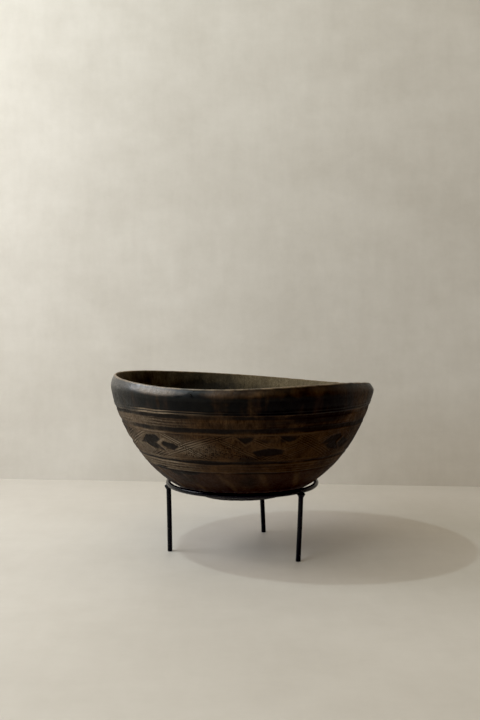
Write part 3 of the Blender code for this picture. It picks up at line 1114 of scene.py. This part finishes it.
def hollow_colour(s, grain, mottle, blotch, speckle):
    """Dry, dusty grey-brown wood inside the bowl, darker in random stains and in painted shade where the
    rim keeps the light off.
    """
    dry = s.blend(s.window(grain, 0.30, 0.72), HOLLOW_DEEP, HOLLOW_LIGHT)
    dry = s.blend(s.window(mottle, 0.52, 0.70, 0.0, 0.5), dry, HOLLOW_MOTTLE)
    dry = s.blend(s.window(speckle, 0.54, 0.74, 0.0, 0.5), dry, HOLLOW_DUST)
    # Random blotches are real stains; the patch mask adds painted shade and painted light.
    stain = s.math("MULTIPLY_ADD", s.math("SUBTRACT", blotch, 0.5), 1.4, s.mask("patch"))
    stain = s.math("MULTIPLY_ADD", s.math("SUBTRACT", mottle, 0.5), 0.9, stain)
    return s.blend(s.window(stain, -0.15, 0.75, 0.0, 0.92), dry, HOLLOW_STAIN_AND_SHADE)


def wood_roughness(s, place, mottle, cuts, hollow, gloss, handled):
    """Smoother where the patina is black and handled, rougher in cuts and in the hollow."""
    roughness = s.between(gloss, 0.62, 0.44)
    roughness = s.math("MULTIPLY_ADD", handled, -0.14, roughness)
    roughness = s.math("ADD", roughness, s.window(mottle, 0.3, 0.7, -0.07, 0.08))
    roughness = s.math("ADD", roughness, s.window(s.noise(place, 300.0, 3.0), 0.35, 0.65, -0.06, 0.08))
    roughness = s.math("MULTIPLY_ADD", cuts, 0.15, roughness)
    return s.math("MULTIPLY_ADD", hollow, 0.1, roughness)


def wood_relief(s, place, grain, speckle, cuts, hollow, gloss):
    """Grain, tool ripples, fine cuts and pitting, and gouge facets in the hollow."""
    rough = s.between(gloss, 1.0, 0.35)
    fine = s.bump(grain, 0.35 * MM, rough)
    ripples = s.bump(s.noise(s.stretched(place, 0.16), 90.0, 3.0), 0.9 * MM, rough, fine)
    carved = s.bump(s.math("SUBTRACT", 1.0, cuts), 0.55 * MM, 1.0, ripples)
    pitted = s.bump(speckle, 0.10 * MM, 0.7, carved)
    gouges = s.add("ShaderNodeTexVoronoi", {"Vector": s.stretched(place, 0.55), "Scale": 62.0})
    gouges.feature = "SMOOTH_F1"
    return s.bump(s.math("MULTIPLY", hollow, gouges.outputs["Distance"]), 1.6 * MM, 0.8, pitted)


def carved_wood_material():
    """Dark oiled wood: brown bands, black patina, a pale worn rim and a dry hollow."""
    s = Shader("carved_wood")
    place = s.add("ShaderNodeTexCoord").outputs["Object"]
    axes = s.add("ShaderNodeSeparateXYZ", {"Vector": place})
    forward = s.math("MULTIPLY", axes.outputs["Y"], -1.0)
    azimuth = s.math("ARCTAN2", axes.outputs["X"], forward)
    grain = s.noise(s.stretched(place, 0.16), 420.0, 5.0, 0.65)
    mottle = s.noise(place, 46.0, 6.0, 0.62)
    blotch = s.noise(place, 13.0, 3.0)
    speckle = s.noise(place, 720.0, 2.0)
    hollow = s.mask("hollow")
    cuts = fine_cuts(s, place, azimuth, axes.outputs["Z"])
    outside, blackness = outside_colour(s, place, grain, mottle, blotch, cuts)
    inside = hollow_colour(s, grain, mottle, blotch, speckle)
    shade = s.blend(hollow, outside, inside)
    worn_edge = masked(s, "edge", s.window(s.noise(place, 95.0, 4.0), 0.34, 0.60, 0.15, 0.95))
    outer = s.math("SUBTRACT", 1.0, hollow)
    gloss = s.math("MULTIPLY", masked(s, "band", blackness), outer)
    handled = masked(s, "shoulder", outer)
    s.set(
        Base_Color=s.blend(worn_edge, shade, RIM_WORN),
        Roughness=wood_roughness(s, place, mottle, cuts, hollow, gloss, handled),
        Normal=wood_relief(s, place, grain, speckle, cuts, hollow, gloss),
        Specular_IOR_Level=s.math("MULTIPLY_ADD", handled, 0.52, s.between(gloss, 0.10, 0.15)),
    )
    return s.material


def black_paint_material(name, ripple):
    """Satin black paint over steel, with faint orange peel and dust."""
    s = Shader(name)
    place = s.add("ShaderNodeTexCoord").outputs["Object"]
    peel = s.noise(place, 900.0, 2.0)
    patches = s.noise(place, 120.0, 4.0)
    dust = s.noise(place, 300.0, 5.0, 0.7)
    shade = s.blend(s.window(patches, 0.3, 0.7), PAINT_DEEP, PAINT_LIGHT)
    shade = s.blend(s.window(dust, 0.62, 0.8, 0.0, 0.3), shade, PAINT_DUST)
    roughness = s.window(patches, 0.25, 0.75, 0.18, 0.32)
    smooth = s.bump(peel, 0.05 * MM, 0.5)
    uneven = s.bump(patches, ripple, 0.6, smooth)
    s.set(Base_Color=shade, Roughness=roughness, Normal=uneven, Specular_IOR_Level=0.20)
    return s.material


def pale_plaster_material(name, dark, light, roughness, see_through_back):
    """A plain pale studio surface with a faint cloudy tone."""
    s = Shader(name)
    place = s.add("ShaderNodeTexCoord").outputs["Object"]
    clouds = s.noise(s.stretched(place, 1.0, back=1.5), 4.5, 9.0, 0.72)
    strokes = s.noise(s.stretched(place, 1.0, across=4.0), 14.0, 5.0, 0.6)
    tone = s.math("MULTIPLY_ADD", s.math("SUBTRACT", strokes, 0.5), 0.25, clouds)
    shade = s.blend(s.window(tone, 0.34, 0.66), dark, light)
    s.set(Base_Color=shade, Roughness=roughness)
    if see_through_back:
        clear = s.add("ShaderNodeBsdfTransparent")
        facing = s.add("ShaderNodeNewGeometry").outputs["Backfacing"]
        choice = s.add("ShaderNodeMixShader")
        s.feed(choice.inputs[0], facing)
        s.feed(choice.inputs[1], s.surface.outputs[0])
        s.feed(choice.inputs[2], clear.outputs[0])
        output = s.tree.nodes["Material Output"]
        s.feed(output.inputs["Surface"], choice.outputs[0])
    return s.material


# ---- floor, light, camera


def make_plane(name, size, location, rotation, material):
    body = bmesh.new()
    bmesh.ops.create_grid(body, x_segments=1, y_segments=1, size=size / 2.0)
    plane = add_mesh(name, body)
    plane.location = location
    plane.rotation_euler = rotation
    plane.data.materials.append(material)


def make_studio():
    """A pale floor, and a pale wall that can only be seen from the front."""
    floor = pale_plaster_material("pale_floor", FLOOR_DARK, FLOOR_LIGHT, 0.5, False)
    wall = pale_plaster_material("pale_wall", WALL_DARK, WALL_LIGHT, 0.8, True)
    make_plane("floor", FLOOR_SIZE, (0.0, 0.0, 0.0), (0.0, 0.0, 0.0), floor)
    wall_middle = (0.0, WALL_DISTANCE, WALL_SIZE / 2.0 - WALL_SINK)
    facing_front = (math.pi / 2.0, 0.0, -WALL_TURN)
    make_plane("backdrop", WALL_SIZE, wall_middle, facing_front, wall)


def add_lamp(name, location, side, power, tint, in_reflections):
    """A square of light that faces the bowl."""
    light = bpy.data.lights.new(name, "AREA")
    light.shape = "SQUARE"
    light.size = side
    light.energy = power
    light.color = tint
    lamp = add_object(name, light)
    lamp.location = location
    direction = Vector(LIGHT_TARGET) - Vector(location)
    lamp.rotation_euler = direction.to_track_quat("-Z", "Y").to_euler()
    lamp.visible_glossy = in_reflections


def make_lights():
    """Daylight from the left, two small lamps overhead, and a dimmer room around them."""
    for name, settings in LAMPS.items():
        add_lamp(name, *settings)


def make_surround():
    """A dim warm world that the camera sees as plain and pale."""
    world = bpy.data.worlds.new("soft_surround")
    world.use_nodes = True
    nodes = world.node_tree.nodes
    links = world.node_tree.links
    surround = nodes["Background"]
    surround.inputs["Color"].default_value = SURROUND_TINT
    surround.inputs["Strength"].default_value = SURROUND_STRENGTH
    seen = nodes.new("ShaderNodeBackground")
    seen.inputs["Color"].default_value = SURROUND_SEEN
    rays = nodes.new("ShaderNodeLightPath")
    choice = nodes.new("ShaderNodeMixShader")
    links.new(rays.outputs["Is Camera Ray"], choice.inputs[0])
    links.new(surround.outputs[0], choice.inputs[1])
    links.new(seen.outputs[0], choice.inputs[2])
    links.new(choice.outputs[0], nodes["World Output"].inputs["Surface"])
    world.cycles_visibility.glossy = False
    bpy.context.scene.world = world


def make_camera():
    data = bpy.data.cameras.new("camera")
    data.lens = LENS_MM
    data.sensor_width = SENSOR_MM
    data.shift_y = CAMERA_SHIFT
    camera = add_object("camera", data)
    camera.location = (CAMERA_SIDESTEP, -CAMERA_DISTANCE, CAMERA_HEIGHT)
    camera.rotation_euler = (math.pi / 2.0, 0.0, 0.0)
    bpy.context.scene.camera = camera


def set_tone():
    """Plain colours with slightly deepened blacks, as in a moody studio print."""
    view = bpy.context.scene.view_settings
    view.view_transform = "Standard"
    view.use_curve_mapping = True
    view.curve_mapping.black_level = BLACK_LEVEL
    view.curve_mapping.update()


clear_startup_objects()
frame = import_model()

make_bowl()
rod_paint = black_paint_material("black_paint", 0.04 * MM)
weld_paint = black_paint_material("black_paint_weld", 0.35 * MM)
make_ring(rod_paint)
for leg_side in ("left", "right", "back"):
    make_leg(leg_side, rod_paint)
    make_leg_weld(leg_side, weld_paint)
make_seam_weld(weld_paint)
make_studio()
make_lights()
make_surround()
make_camera()
set_tone()
